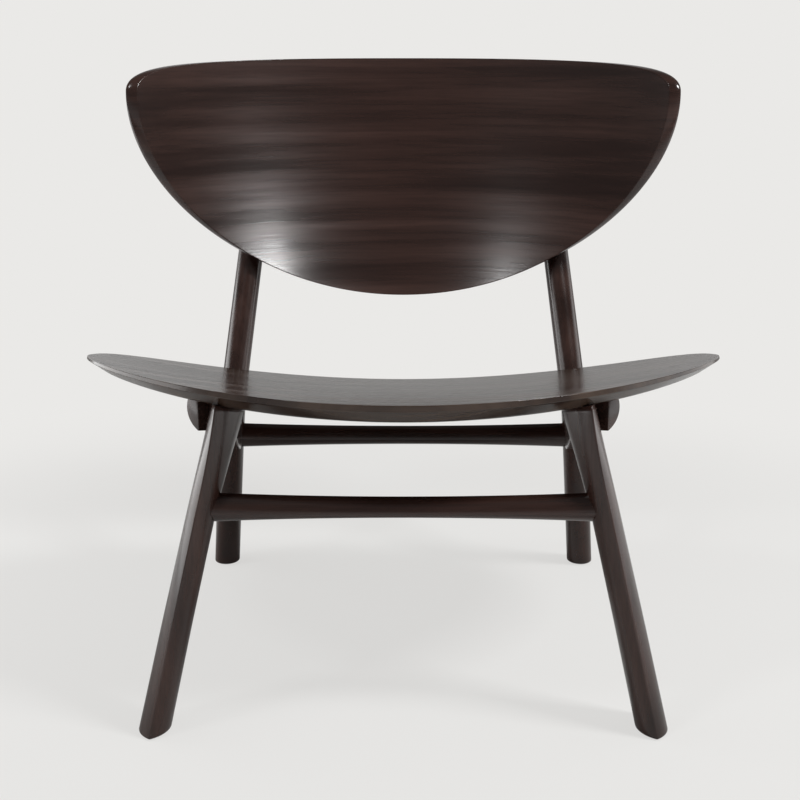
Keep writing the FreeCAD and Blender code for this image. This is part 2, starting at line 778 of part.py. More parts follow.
def rail_body(rail, track_rule):
    return loft_body(rail + "_blank", [
        rail_section(rail, "-(%s)" % track_rule, "left"),
        rail_section(rail, "0", "waist"),
        rail_section(rail, track_rule, "right"),
    ], False)


front_rail_blank = rail_body("front_rail", "dims.front_knee_half_track")
rear_rail_blank = rail_body("rear_rail", rear_axis_rule("half_track", "dims.rear_rail_height"))

# Joining and boring: small helpers round the Part workbench

SIDEWAYS = Rotation(Vector(0, 1, 0), 90)
FORWARD = Rotation(Vector(1, 0, 0), 90)
BACKWARD = Rotation(Vector(1, 0, 0), -90)


def cylinder(name, radius_rule, height_rule, place):
    rod = doc.addObject("Part::Cylinder", name)
    rod.setExpression("Radius", radius_rule)
    rod.setExpression("Height", height_rule)
    rod.Placement = place
    return rod


def fused(name, *members):
    whole = doc.addObject("Part::MultiFuse", name)
    whole.Shapes = list(members)
    return whole


def cut(name, base, *tools):
    """The base without the tools, taken off one after the other."""
    rest = base
    for step, tool in enumerate(tools, start=1):
        less = doc.addObject("Part::Cut", name if step == len(tools) else "%s_cut_%d" % (name, step))
        less.Base = rest
        less.Tool = tool
        rest = less
    return rest


def mirrored(name, source):
    image = doc.addObject("Part::Mirroring", name)
    image.Source = source
    image.Normal = Vector(1, 0, 0)
    return image


def group(name, *members):
    together = doc.addObject("Part::Compound", name)
    together.Links = list(members)
    return together


def pair_of(name, *members):
    """One node that holds the right-hand members and their mirror images."""
    right = group(name + "_right", *members)
    return group(name, right, mirrored(name + "_left", right))


# Rail tenons: round, turned on the rail's ends, in blind mortises in the legs

def tenon(rail, leg_width, track, loose):
    """Round rod out of the rail's end, or with loose set the mortise that takes it."""
    place = Placement(
        Vector(track - size(leg_width), behind_front_edge(rail + "_setback"), size(rail + "_height")),
        SIDEWAYS,
    )
    wider = " + dims.tenon_clearance" if loose else ""
    longer = " + dims.mortise_extra_depth" if loose else ""
    return cylinder(
        rail + ("_mortise" if loose else "_tenon"),
        "dims.tenon_radius" + wider,
        "dims.%s + dims.%s / 2 - dims.tenon_end_wall%s" % (leg_width, leg_width, longer),
        place,
    )


front_track = size("front_knee_half_track")
rear_track = rear_axis(size("rear_rail_height")).x
front_tenon = tenon("front_rail", "front_knee_width", front_track, False)
rear_tenon = tenon("rear_rail", "rear_bend_width", rear_track, False)
front_mortise = tenon("front_rail", "front_knee_width", front_track, True)
rear_mortise = tenon("rear_rail", "rear_bend_width", rear_track, True)

# Dowels: two across each front leg's head into its bearer, two from each bearer into its rear leg

def dowel(name, centre, turn, length, loose):
    """A dowel, or with loose set the longer and wider hole that takes it."""
    gap = size("dowel_end_gap") if loose else 0
    wider = " + dims.dowel_clearance" if loose else ""
    longer = " + 2 * dims.dowel_end_gap" if loose else ""
    half_back = turn.multVec(Vector(0, 0, -size(length) / 2 - gap))
    place = Placement(centre + half_back, turn)
    return cylinder(name, "dims.dowel_radius" + wider, "dims.%s%s" % (length, longer), place)


def front_dowel_centre(setback):
    return Vector(
        size("front_dowel_half_track"), behind_front_edge(setback), size("front_dowel_height")
    )


along_bearer = Rotation(Vector(1, 0, 0), -90 - size("seat_tilt"))
heel_middle = bearer_middle(size("bearer_heel_setback"))
DOWELS = {
    "front_dowel_fore": (front_dowel_centre("front_dowel_fore_setback"), SIDEWAYS, "front_dowel_length"),
    "front_dowel_aft": (front_dowel_centre("front_dowel_aft_setback"), SIDEWAYS, "front_dowel_length"),
    "rear_dowel_low": (
        Vector(heel_middle, behind_front_edge("rear_dowel_setback"), size("rear_dowel_low_height")),
        along_bearer, "rear_dowel_length",
    ),
    "rear_dowel_high": (
        Vector(heel_middle, behind_front_edge("rear_dowel_setback"), size("rear_dowel_high_height")),
        along_bearer, "rear_dowel_length",
    ),
}
dowels = {name: dowel(name, *rest, False) for name, rest in DOWELS.items()}
dowel_holes = {name: dowel(name + "_hole", *rest, True) for name, rest in DOWELS.items()}
front_holes = [dowel_holes["front_dowel_fore"], dowel_holes["front_dowel_aft"]]
rear_holes = [dowel_holes["rear_dowel_low"], dowel_holes["rear_dowel_high"]]

# Bolts: Z runs from the bolt's head into the board, and Z = 0 is the board's rear face

def along_z(place, start):
    return place.multiply(Placement(Vector(0, 0, start), Rotation()))


def bolt(name, place, grip):
    """Bolt whose shank runs from its head over the grip to the end of its insert."""
    shank_start = -grip - size("washer_thickness")
    head_start = shank_start - size("bolt_head_height")
    head = cylinder(
        name + "_head", "dims.bolt_head_radius", "dims.bolt_head_height", along_z(place, head_start)
    )
    rule = "%r + dims.washer_thickness + dims.insert_sink + dims.insert_length" % grip
    shank = cylinder(name + "_shank", "dims.bolt_radius", rule, along_z(place, shank_start))
    socket = doc.addObject("Part::Prism", name + "_socket")
    socket.Polygon = 6
    socket.setExpression("Circumradius", "dims.bolt_socket_radius")
    socket.setExpression("Height", "dims.bolt_socket_depth")
    socket.Placement = along_z(place, head_start)
    return cut(name, fused(name + "_solid", head, shank), socket)


def washer(name, place, grip):
    start = -grip - size("washer_thickness")
    disc = cylinder(name + "_disc", "dims.washer_radius", "dims.washer_thickness", along_z(place, start))
    bore = cylinder(
        name + "_bore", "dims.bolt_radius + dims.bolt_hole_clearance", "dims.washer_thickness",
        along_z(place, start),
    )
    return cut(name, disc, bore)


def insert(name, place):
    start = size("insert_sink")
    sleeve = cylinder(name + "_sleeve", "dims.insert_radius", "dims.insert_length", along_z(place, start))
    bore = cylinder(
        name + "_thread", "dims.bolt_radius + dims.thread_clearance", "dims.insert_length",
        along_z(place, start),
    )
    return cut(name, sleeve, bore)


def insert_hole(name, place):
    over = size("tool_overrun")
    rule = "dims.tool_overrun + dims.insert_sink + dims.insert_length + dims.insert_clearance"
    return cylinder(name, "dims.insert_radius + dims.insert_clearance", rule, along_z(place, -over))


def bolt_hole(name, place, grip):
    """The bolt's way through its carrier, with the counterbore for its washer and head."""
    over = size("tool_overrun")
    shank = cylinder(
        name + "_shank", "dims.bolt_radius + dims.bolt_hole_clearance",
        "%r + 2 * dims.tool_overrun" % grip, along_z(place, -grip - over),
    )
    wide = cylinder(
        name + "_wide", "dims.counterbore_radius", "dims.counterbore_length",
        along_z(place, -grip - size("counterbore_length")),
    )
    return fused(name, shank, wide)


def seat_bolt_place(run):
    across = bearer_middle(run)
    spot = Vector(across, run - size("seat_front_reach"), seat_under(across))
    return seat_place.multiply(Placement(spot, Rotation()))


def back_bolt_place(height):
    """Square to the back board's plane, through the upright's axis at a height."""
    axis_point = back_place.inverse().multVec(rear_axis(height))
    radius = back_face_radius(axis_point.z, size("back_thickness"))
    rear = math.sqrt(radius ** 2 - axis_point.x ** 2) - back_radius
    spot = Placement(Vector(axis_point.x, rear, axis_point.z), FORWARD)
    return back_place.multiply(spot), axis_point.y - rear + size("back_bolt_head_back")


seat_bolt_spots = {
    "seat_front_bolt": (seat_bolt_place(size("seat_front_bolt_run")), size("seat_bolt_grip")),
    "seat_rear_bolt": (seat_bolt_place(size("seat_rear_bolt_run")), size("seat_bolt_grip")),
}
back_bolt_spots = {
    "back_lower_bolt": back_bolt_place(size("back_lower_bolt_height")),
    "back_upper_bolt": back_bolt_place(size("back_upper_bolt_height")),
}


def fastener_set(spots):
    """Bolts, washers, inserts, board holes and carrier holes for the named bolt places."""
    return {
        "bolts": [bolt(name, *spot) for name, spot in spots.items()],
        "washers": [washer(name + "_washer", *spot) for name, spot in spots.items()],
        "inserts": [insert(name + "_insert", spot[0]) for name, spot in spots.items()],
        "board_holes": [insert_hole(name + "_insert_hole", spot[0]) for name, spot in spots.items()],
        "carrier_holes": [bolt_hole(name + "_hole", *spot) for name, spot in spots.items()],
    }


seat_set = fastener_set(seat_bolt_spots)
back_set = fastener_set(back_bolt_spots)


def plug(name, place, grip):
    """Wooden plug in the counterbore, its outer end flush with the upright."""
    inner_end = grip + size("washer_thickness") + size("bolt_head_height") + size("plug_gap")
    rod = cylinder(
        name + "_rod", "dims.plug_radius", "dims.counterbore_length",
        along_z(place, -inner_end - size("counterbore_length")),
    )
    flush = doc.addObject("Part::Common", name)
    flush.Base = rod
    flush.Tool = rear_leg_blank
    return flush


plugs = [plug(name + "_plug", *spot) for name, spot in back_bolt_spots.items()]

# Foot glides: a disc under each foot on a pin that is driven into the wood

def glide(name, half_track, setback, loose):
    """A glide, or with loose set the hole that takes its pin."""
    spot = Vector(size(half_track), behind_front_edge(setback), 0)
    seat = Vector(0, 0, size("glide_thickness"))
    if loose:
        return cylinder(
            name, "dims.glide_pin_radius + dims.glide_pin_clearance",
            "dims.glide_thickness + dims.glide_pin_length + dims.glide_pin_clearance",
            Placement(spot, Rotation()),
        )
    disc = cylinder(
        name + "_disc", "dims.glide_radius", "dims.glide_thickness", Placement(spot, Rotation())
    )
    pin = cylinder(
        name + "_pin", "dims.glide_pin_radius", "dims.glide_pin_length", Placement(spot + seat, Rotation())
    )
    return fused(name, disc, pin)


front_glide = glide("front_glide", "front_foot_half_track", "front_foot_setback", False)
rear_glide = glide("rear_glide", "rear_foot_half_track", "rear_foot_setback", False)
front_glide_hole = glide("front_glide_hole", "front_foot_half_track", "front_foot_setback", True)
rear_glide_hole = glide("rear_glide_hole", "rear_foot_half_track", "rear_foot_setback", True)

# Finished pieces: blanks trimmed to each other and bored

seat_space = doc.addObject("Part::Box", "seat_space")
seat_space.setExpression("Length", "2 * dims.seat_half_width")
seat_space.setExpression("Width", "dims.seat_front_reach + dims.seat_rear_reach")
seat_space.setExpression("Height", "dims.bearer_cut_overrun")
seat_space.Placement = seat_place.multiply(Placement(
    Vector(-size("seat_half_width"), -size("seat_front_reach"), size("seat_space_rise")), Rotation()
))

seat_holes = group("seat_holes", *seat_set["board_holes"])
back_holes = group("back_holes", *back_set["board_holes"])
seat_shell = cut("seat_shell", seat_blank, seat_holes, mirrored("seat_holes_left", seat_holes))
backrest_shell = cut("backrest_shell", back_blank, back_holes, mirrored("back_holes_left", back_holes))
front_leg_right = cut(
    "front_leg_right", front_leg_blank, seat_blank, seat_space, front_mortise, front_glide_hole, *front_holes
)
side_bearer_right = cut(
    "side_bearer_right", bearer_blank, seat_blank, front_leg_blank, rear_leg_blank,
    prow_outer, prow_inner, *front_holes, *rear_holes, *seat_set["carrier_holes"],
)
rear_leg_right = cut(
    "rear_leg_right", rear_leg_blank, back_blank, rear_mortise, rear_glide_hole,
    *rear_holes, *back_set["carrier_holes"],
)


def finished_rail(rail, blank, leg_blank, rod):
    body = cut(rail + "_body", blank, leg_blank, mirrored(rail + "_left_leg", leg_blank))
    return fused(rail, body, rod, mirrored(rail + "_left_tenon", rod))


PIECES = {
    "seat_shell": seat_shell,
    "backrest_shell": backrest_shell,
    "front_leg_right": front_leg_right,
    "front_leg_left": mirrored("front_leg_left", front_leg_right),
    "side_bearer_right": side_bearer_right,
    "side_bearer_left": mirrored("side_bearer_left", side_bearer_right),
    "rear_leg_right": rear_leg_right,
    "rear_leg_left": mirrored("rear_leg_left", rear_leg_right),
    "front_rail": finished_rail("front_rail", front_rail_blank, front_leg_blank, front_tenon),
    "rear_rail": finished_rail("rear_rail", rear_rail_blank, rear_leg_blank, rear_tenon),
}
# Like fasteners share a node: those on the right-hand side, which the left mirrors
FASTENERS = {
    "front_joint_dowels": [dowels["front_dowel_fore"], dowels["front_dowel_aft"]],
    "rear_joint_dowels": [dowels["rear_dowel_low"], dowels["rear_dowel_high"]],
    "seat_bolts": seat_set["bolts"],
    "seat_washers": seat_set["washers"],
    "seat_inserts": seat_set["inserts"],
    "back_bolts": back_set["bolts"],
    "back_washers": back_set["washers"],
    "back_inserts": back_set["inserts"],
    "back_plugs": plugs,
    "foot_glides": [front_glide, rear_glide],
}
nodes = {label: (piece, 1) for label, piece in PIECES.items()}
for label, members in FASTENERS.items():
    nodes[label] = (pair_of(label, *members), 2 * len(members))
for label, (piece, _) in nodes.items():
    piece.Label = label
doc.recompute()

for item in doc.Objects:
    if "Invalid" in item.State or "Error" in item.State:
        raise RuntimeError("%s failed: %s" % (item.Label, item.State))
for label, (piece, solids) in nodes.items():
    shape = piece.Shape
    if shape.isNull() or not shape.isValid():
        raise RuntimeError("%s has no valid shape" % label)
    if len(shape.Solids) != solids:
        raise RuntimeError("%s has %d solids, not %d" % (label, len(shape.Solids), solids))

os.makedirs("parts", exist_ok=True)
for label, (piece, _) in nodes.items():
    piece.Shape.exportStep("parts/%s.step" % label)
    print("%-20s %9.0f mm3" % (label, piece.Shape.Volume))
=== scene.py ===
import math

import bmesh
import bpy
from mathutils import Matrix, Vector


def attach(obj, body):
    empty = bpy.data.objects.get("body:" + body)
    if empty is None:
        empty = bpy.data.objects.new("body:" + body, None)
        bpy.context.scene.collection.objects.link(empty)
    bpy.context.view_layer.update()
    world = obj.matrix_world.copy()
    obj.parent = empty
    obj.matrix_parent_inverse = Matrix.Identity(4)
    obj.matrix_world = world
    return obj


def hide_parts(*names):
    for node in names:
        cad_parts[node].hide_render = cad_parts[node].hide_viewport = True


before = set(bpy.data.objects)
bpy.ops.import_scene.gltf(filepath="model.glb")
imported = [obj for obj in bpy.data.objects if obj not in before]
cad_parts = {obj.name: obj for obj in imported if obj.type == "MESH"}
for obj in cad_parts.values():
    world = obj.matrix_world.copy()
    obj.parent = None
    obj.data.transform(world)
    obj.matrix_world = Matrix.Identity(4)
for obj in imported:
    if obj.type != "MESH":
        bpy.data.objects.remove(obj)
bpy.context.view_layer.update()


# Seat: one thick half-moon board of hardwood, hollowed across and thinner at its tips, with a
# narrow upright facet on its edge and a wide planed bevel underneath. It is stained dark umber
# under satin varnish, its grain runs across, and bolts from below hold it on the side bearers.

SEAT_OUTLINE = {
    "half_width": 0.370, "near_reach": 0.267, "far_reach": 0.236,
    "near_fullness": 1.77, "far_fullness": 2.64,
}
SEAT_FRONT, SEAT_FRONT_HEIGHT, SEAT_TILT = 0.333, 0.381, 10.2
SEAT_DISH, SEAT_THICK, SEAT_TIP_THICK = 0.0416, 0.018, 0.0082
SEAT_FACET_SHARE, SEAT_BEVEL, SEAT_SANDED = 0.36, 0.017, 0.0011
# The seat's two tones are lighter and greyer than the umber of the other pieces. Over the real
# grain they carry a painted sheen: the grey reflection that the seat's top catches at a low angle.
SEAT_DARK_WITH_SHEEN, SEAT_LIGHT_WITH_SHEEN = (0.019, 0.0100, 0.0070), (0.060, 0.0385, 0.0275)
UMBER_DARK, UMBER_LIGHT = (0.017, 0.0074, 0.0056), (0.044, 0.0198, 0.0147)
PORE_TINT, PORE_STRENGTH = (0.45, 0.42, 0.4), 0.35
FIGURE_SCALE, PORE_SCALE = 42.0, 330.0
SATIN_LOW, SATIN_HIGH = 0.17, 0.26


def arc_radius(half_chord, rise):
    return (half_chord ** 2 + rise ** 2) / (2 * rise)


SEAT_RADIUS = arc_radius(SEAT_OUTLINE["half_width"], SEAT_DISH)
SEAT_UNDER_RADIUS = arc_radius(
    SEAT_OUTLINE["half_width"], SEAT_DISH + SEAT_THICK - SEAT_TIP_THICK
)
seat_place = (
    Matrix.Translation((0, -SEAT_FRONT, SEAT_FRONT_HEIGHT))
    @ Matrix.Rotation(math.radians(-SEAT_TILT), 4, "X")
    @ Matrix.Translation((0, SEAT_OUTLINE["near_reach"], 0))
)


def hollow_height(across, radius):
    return radius - math.sqrt(radius ** 2 - across ** 2)


def seat_under_height(across):
    return hollow_height(across, SEAT_UNDER_RADIUS) - SEAT_THICK


def seat_spot(across, along, share):
    """Point at a share of the seat's thickness under its face."""
    top, under = hollow_height(across, SEAT_RADIUS), seat_under_height(across)
    lean = across / SEAT_RADIUS * share * (top - under)
    return seat_place @ Vector((across + lean, along, top + (under - top) * share))


def signed_power(value, power):
    return math.copysign(abs(value) ** power, value)


def half_moon(outline, angle, inset):
    """Point on a board's outline, drawn in by the inset."""
    half = "near" if math.sin(angle) < 0 else "far"
    power = 2 / outline[half + "_fullness"]
    across = (outline["half_width"] - inset) * signed_power(math.cos(angle), power)
    along = (outline[half + "_reach"] - inset) * signed_power(math.sin(angle), power)
    return across, along


def even(count, start=0.0, end=1.0):
    return [start + (end - start) * step / (count - 1) for step in range(count)]


OUTLINE_POINTS = 360
FACE_SHARES = even(24, 0.02, 0.97) + [0.985, 0.994, 1.0]
FACET_SHARES = even(7)[1:]
BEVEL_SHARES = (0.15, 0.5, 0.85, 1.0)
FAR_SIDE_SHARES = [0.99, 0.98] + even(20, 0.95, 0.02)


def no_inset(angle):
    return 0.0


def board_rings(outline, spot, facet_share, bevel, face_inset_at=no_inset, inset_at=no_inset):
    """Rings from the face's middle over the edge facet and the bevel to the far side's middle."""
    angles = [2 * math.pi * step / OUTLINE_POINTS for step in range(OUTLINE_POINTS)]
    edge = [half_moon(outline, angle, face_inset_at(angle)) for angle in angles]
    lower = [half_moon(outline, angle, inset_at(angle)) for angle in angles]
    inner = [half_moon(outline, angle, inset_at(angle) + bevel) for angle in angles]
    rings = [[spot(a * share, b * share, 0) for a, b in edge] for share in FACE_SHARES]
    crease = len(rings) - 1
    for share in FACET_SHARES:
        ring = []
        for angle in angles:
            inset = inset_at(angle) * share
            inset += face_inset_at(angle) * (1 - math.sin(share * math.pi / 2))
            across, along = half_moon(outline, angle, inset)
            ring.append(spot(across, along, facet_share * share))
        rings.append(ring)
    arris = len(rings) - 1
    for share in BEVEL_SHARES:
        depth = facet_share + (1 - facet_share) * share
        rings.append([
            spot(a + (c - a) * share, b + (d - b) * share, depth)
            for (a, b), (c, d) in zip(lower, inner)
        ])
    heel = len(rings) - 1
    rings += [[spot(a * share, b * share, 1) for a, b in inner] for share in FAR_SIDE_SHARES]
    return rings, (crease, arris, heel)


def loop_edges(mesh, loop):
    return [mesh.edges.get(pair) for pair in zip(loop, loop[1:] + loop[:1])]


def next_loop(mesh, loop, ring):
    """Extrudes the loop of vertices and puts the new ones on the ring's points."""
    made = bmesh.ops.extrude_edge_only(mesh, edges=loop_edges(mesh, loop))["geom"]
    order = {vert: place for place, vert in enumerate(loop)}
    fresh = [None] * len(loop)
    for vert in made:
        if isinstance(vert, bmesh.types.BMVert):
            for edge in vert.link_edges:
                other = edge.other_vert(vert)
                if other in order:
                    fresh[order[other]] = vert
    for vert, spot in zip(fresh, ring):
        vert.co = spot
    return fresh


def skin(rings):
    """Closed mesh through the rings, with a pole at each end, and its loops of vertices."""
    mesh = bmesh.new()
    first = bmesh.ops.create_circle(mesh, segments=len(rings[0]), radius=1.0)["verts"]
    for vert, spot in zip(first, rings[0]):
        vert.co = spot
    loops = [first]
    for ring in rings[1:]:
        loops.append(next_loop(mesh, loops[-1], ring))
    for end in (0, -1):
        middle = sum(rings[end], Vector()) / len(rings[end])
        pole = next_loop(mesh, loops[end], [middle] * len(rings[end]))
        bmesh.ops.pointmerge(mesh, verts=pole, merge_co=middle)
    return mesh, loops


def shaped_board(*board):
    """Skin of a board and the edges along its three lines."""
    rings, lines = board_rings(*board)
    mesh, loops = skin(rings)
    return mesh, [loop_edges(mesh, loops[line]) for line in lines]


def round_edges(mesh, edges, width, segments=3):
    """Sands a crisp line to a small round."""
    bmesh.ops.bevel(
        mesh, geom=edges, offset=width, offset_type="OFFSET", segments=segments, profile=0.5,
        affect="EDGES", clamp_overlap=True, loop_slide=True, material=-1,
    )


def wire(tree, node, inputs):
    """Fills a node's inputs, each with a value or from another node's output."""
    for socket, value in inputs.items():
        if isinstance(value, bpy.types.NodeSocket):
            tree.links.new(value, node.inputs[socket])
        else:
            node.inputs[socket].default_value = value


def add_node(tree, kind, inputs, **settings):
    node = tree.nodes.new("ShaderNode" + kind)
    for setting, value in settings.items():
        setattr(node, setting, value)
    wire(tree, node, inputs)
    return node


def ramp(tree, value, start, end, low=0.0, high=1.0, curve="LINEAR"):
    """Runs from low to high as the value goes from start to end."""
    return add_node(tree, "MapRange", {
        "Value": value, "From Min": start, "From Max": end, "To Min": low, "To Max": high,
    }, interpolation_type=curve).outputs["Result"]


def two_tones(tree, value, dark, light, start=0.0, end=1.0):
    """Runs from the dark colour to the light one as the value goes from start to end."""
    node = add_node(tree, "ValToRGB", {"Fac": value})
    for stop, position, colour in zip(node.color_ramp.elements, (start, end), (dark, light)):
        stop.position = position
        stop.color = (*colour, 1)
    return node.outputs["Color"]


def grain_noise(tree, coordinates, stretch, scale, detail):
    mapping = add_node(tree, "Mapping", {"Vector": coordinates, "Scale": stretch})
    return add_node(tree, "TexNoise", {
        "Vector": mapping.outputs["Vector"], "Scale": scale, "Detail": detail,
    }).outputs["Fac"]


def new_material(name):
    material = bpy.data.materials.new(name)
    material.use_nodes = True
    return material, material.node_tree


def stained_wood(name, stretch, dark=UMBER_DARK, light=UMBER_LIGHT):
    """Umber-stained wood whose grain runs along the axis with the smallest stretch."""
    material, tree = new_material(name)
    coordinates = add_node(tree, "TexCoord", {}).outputs["Object"]
    figure = grain_noise(tree, coordinates, stretch, FIGURE_SCALE, 5.0)
    pores = grain_noise(tree, coordinates, stretch, PORE_SCALE, 3.0)
    streaked = add_node(tree, "Mix", {
        "Factor": PORE_STRENGTH,
        6: two_tones(tree, figure, dark, light, 0.34, 0.68),
        7: two_tones(tree, pores, PORE_TINT, (1, 1, 1), 0.36, 0.56),
    }, data_type="RGBA", blend_type="MULTIPLY")
    relief = add_node(tree, "Bump", {"Strength": 0.12, "Distance": 0.0004, "Height": pores})
    wire(tree, tree.nodes["Principled BSDF"], {
        "Base Color": streaked.outputs[2],
        "Roughness": ramp(tree, figure, 0.35, 0.65, SATIN_LOW, SATIN_HIGH),
        "Normal": relief.outputs["Normal"],
    })
    return material


def finish_piece(name, mesh, material, node):
    """Makes the piece that stands in for the solid of that node."""
    bmesh.ops.recalc_face_normals(mesh, faces=mesh.faces)
    for face in mesh.faces:
        face.smooth = True
    data = bpy.data.meshes.new(name)
    mesh.to_mesh(data)
    mesh.free()
    data.materials.append(material)
    piece = bpy.data.objects.new(name, data)
    bpy.context.collection.objects.link(piece)
    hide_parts(node)
    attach(piece, "root")


# The seat's material carries the painted sheen in its lighter, greyer tones.
wood_seat = stained_wood("stained wood with painted sheen, seat board", (0.04, 1.0, 0.08), SEAT_DARK_WITH_SHEEN, SEAT_LIGHT_WITH_SHEEN)
mesh, (crease, arris, _) = shaped_board(SEAT_OUTLINE, seat_spot, SEAT_FACET_SHARE, SEAT_BEVEL)
round_edges(mesh, crease + arris, SEAT_SANDED)
finish_piece("seat_board", mesh, wood_seat, "seat_shell")


# Back: one half-moon board of the same stained wood, curved round the sitter, nearly flat along
# its top, with wings that come forward. Its edge facet leans out at the wings, and the rear is
# drawn in at the bottom, so the edge looks thin there. It is bolted to the two uprights.

BACK_OUTLINE = {
    "half_width": 0.3448, "near_reach": 0.2381, "far_reach": 0.0937,
    "near_fullness": 2.04, "far_fullness": 2.04,
}
BACK_SETBACK, BACK_FOOT_HEIGHT, BACK_LEAN = 0.222, 0.3938, 19.44
BACK_HOLLOW, BACK_BOW, BACK_THICK = 0.1635, 0.0147, 0.017
BACK_FACET_SHARE, BACK_BEVEL, BACK_UNDERCUT, BACK_WING_LEAN = 0.7, 0.004, 0.008, 0.0055
BACK_FACE_SANDED, BACK_REAR_SANDED = 0.0012, 0.0014
BACK_RADIUS = arc_radius(BACK_OUTLINE["half_width"], BACK_HOLLOW)
BACK_LENGTH = BACK_OUTLINE["near_reach"] + BACK_OUTLINE["far_reach"]
BACK_MIDDLE = BACK_LENGTH / 2 - BACK_OUTLINE["near_reach"]
BACK_PROFILE = arc_radius(BACK_LENGTH / 2, BACK_BOW)
back_place = (
    Matrix.Translation((0, BACK_SETBACK, BACK_FOOT_HEIGHT))
    @ Matrix.Rotation(math.radians(-BACK_LEAN), 4, "X")
    @ Matrix.Translation((0, 0, BACK_OUTLINE["near_reach"]))
)


def back_spot(across, along, share):
    """Point at a share of the back's thickness behind its face."""
    profile = math.sqrt(BACK_PROFILE ** 2 - (along - BACK_MIDDLE) ** 2)
    radius = BACK_RADIUS - BACK_PROFILE + profile
    fall = math.sqrt(radius ** 2 - across ** 2)
    grow = 1 + share * BACK_THICK / radius
    return back_place @ Vector((across * grow, fall * grow - BACK_RADIUS, along))


def wing_share(angle):
    """Rises from 0 in the board's middle to 1 at its wing tips."""
    across, _ = half_moon(BACK_OUTLINE, angle, 0)
    return (across / BACK_OUTLINE["half_width"]) ** 2


def back_face_inset(angle):
    return BACK_WING_LEAN * wing_share(angle)


def back_rear_inset(angle):
    return 0.0 if math.sin(angle) >= 0 else BACK_UNDERCUT * (1 - wing_share(angle))


wood_back = stained_wood("stained wood, back board", (0.04, 0.08, 1.0))
mesh, (crease, arris, heel) = shaped_board(
    BACK_OUTLINE, back_spot, BACK_FACET_SHARE, BACK_BEVEL, back_face_inset, back_rear_inset
)
round_edges(mesh, crease, BACK_FACE_SANDED)
round_edges(mesh, arris + heel, BACK_REAR_SANDED)
finish_piece("back_board", mesh, wood_back, "backrest_shell")


# Front legs: each shaped from one billet of the stained wood, almond in section. A sharp line
# runs up the front, and the head sweeps back under the seat, where dowels hold it to the side
# bearer.

FRONT_LEVELS = [
    # height, setback of the middle behind the seat's front, half track, width, length, twist
    (0.0015, 0.0615, 0.2726, 0.0348, 0.062, 2.5),
    (0.120, 0.066, 0.2450, 0.0328, 0.056, 4.5),
    (0.250, 0.074, 0.2140, 0.0308, 0.052, 7.5),
    (0.3682, 0.106, 0.1820, 0.0336, 0.104, 14.0),
]
SETBACK, LENGTH = 1, 4
FOOT_HEIGHT, HEAD_START, HEAD_GUESS, SEAT_GAP = 0.0015, 0.25, 0.34, 0.0001
ALMOND_POINTS, UNDER_ROUNDS, TOP_ROUNDS = 72, 6, 8
FRONT_LINE, REAR_LINE = 0, ALMOND_POINTS // 2
FRONT_LEG_SANDED = 0.0012


def mirrored(rings):
    return [[Vector((-x, y, z)) for x, y, z in ring] for ring in rings]


def line_edges(mesh, loops, place):
    """Edges of the line that runs through the same place of every loop."""
    return [mesh.edges.get((low[place], high[place])) for low, high in zip(loops, loops[1:])]


def seat_under_above(spot):
    """Height of the seat's underside over a point, closed in on in a few rounds."""
    inverse = seat_place.inverted()
    height = spot.z
    for _ in range(UNDER_ROUNDS):
        local = inverse @ Vector((spot.x, spot.y, height))
        height += seat_under_height(local.x) - local.z
    return height


def front_level(height):
    """Row of values at a height; in the head, setback and length grow ever faster."""
    for low, high in zip(FRONT_LEVELS, FRONT_LEVELS[1:]):
        in_head = high is FRONT_LEVELS[-1]
        if height <= high[0] or in_head:
            share = (height - low[0]) / (high[0] - low[0])
            return [
                a + (b - a) * (share ** 2 if in_head and column in (SETBACK, LENGTH) else share)
                for column, (a, b) in enumerate(zip(low, high))
            ]


def almond_spot(height, turn):
    """Point on the front leg's skin; turn runs from 0 at the front line round to 2."""
    _, setback, track, width, length, twist = front_level(height)
    radius = (width ** 2 + length ** 2) / (4 * width)
    side = 1 if turn < 1 else -1
    spread = math.asin(length / 2 / radius)
    lean = spread * (2 * (turn % 1) - 1) * side
    out = side * (radius * math.cos(lean) - (radius - width / 2))
    along = radius * math.sin(lean)
    sine, cosine = math.sin(math.radians(twist)), math.cos(math.radians(twist))
    return Vector((
        track + out * cosine - along * sine,
        setback - SEAT_FRONT + out * sine + along * cosine,
        height,
    ))


def front_leg_rings():
    """Level rings up to the head, then rings that lean over to meet the seat's underside."""
    turns = [2 * step / ALMOND_POINTS for step in range(ALMOND_POINTS)]
    tops = []
    for turn in turns:
        height = HEAD_GUESS
        for _ in range(TOP_ROUNDS):
            height = seat_under_above(almond_spot(height, turn)) - SEAT_GAP
        tops.append(height)
    rings = []
    for height in [FOOT_HEIGHT] + even(22, 0.006, HEAD_START):
        rings.append([almond_spot(height, turn) for turn in turns])
    for share in even(18, 0.05, 1.0):
        rings.append([
            almond_spot(HEAD_START + (top - HEAD_START) * share, turn)
            for top, turn in zip(tops, turns)
        ])
    return rings


wood_upright = stained_wood("stained wood, grain upright", (1.0, 1.0, 0.05))
right_rings = front_leg_rings()
for side, rings in (("right", right_rings), ("left", mirrored(right_rings))):
    mesh, loops = skin(rings)
    sharp = line_edges(mesh, loops, FRONT_LINE) + line_edges(mesh, loops, REAR_LINE)
    round_edges(mesh, sharp + loop_edges(mesh, loops[0]), FRONT_LEG_SANDED)
    finish_piece("shaped_front_leg_" + side, mesh, wood_upright, "front_leg_" + side)


# Rear legs: one bent piece of the stained wood each, oval in section, with the foot below and
# the upright above the bend. The side bearer is dowelled to it, and the upright carries the
# back board on two bolts under plugs.

# setback and half track of the middle line
REAR_FOOT, REAR_BEND, REAR_TOP = (0.5815, 0.2566), (0.484, 0.2304), (0.618, 0.1902)
